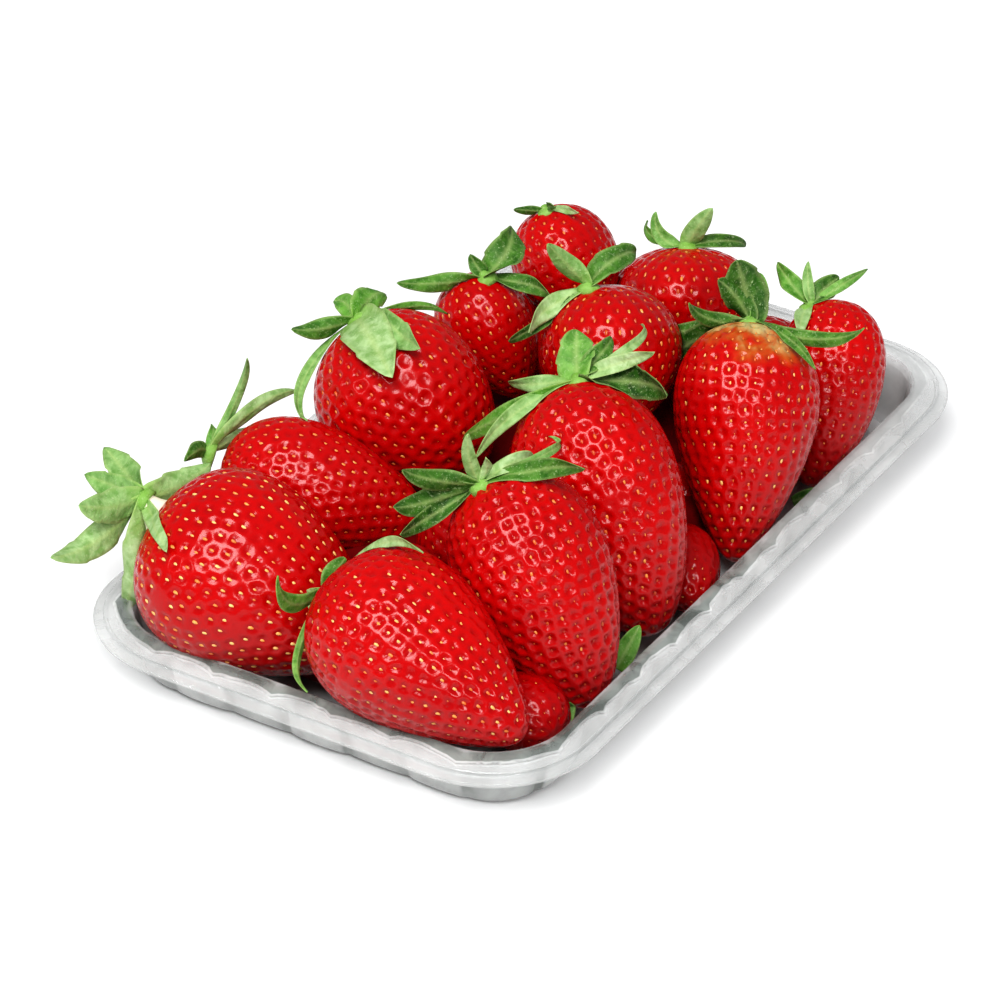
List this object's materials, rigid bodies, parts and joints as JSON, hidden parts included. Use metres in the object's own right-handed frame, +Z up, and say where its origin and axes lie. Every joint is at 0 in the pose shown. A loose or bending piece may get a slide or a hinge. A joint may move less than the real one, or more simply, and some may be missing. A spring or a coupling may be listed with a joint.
{
  "type": "punnet of strawberries",
  "caption": "Shallow clear plastic tray with a wide flange, heaped with whole red strawberries that keep their green leafy caps.",
  "frame": {"origin": "middle of the tray's underside, on the surface it stands on", "axes": "+Z up, +X along the tray's long side, towards the end where the tray's floor shows beside the fruit"},
  "size_m": [0.1927, 0.1235, 0.0635],
  "materials": {
    "tray": "clear, slightly milky, thermoformed",
    "strawberries": "ripe red fruit with a soft gloss"
  },
  "bodies": {
    "root": {"tray": "tray", "strawberries": "strawberries"}
  },
  "joints": []
}
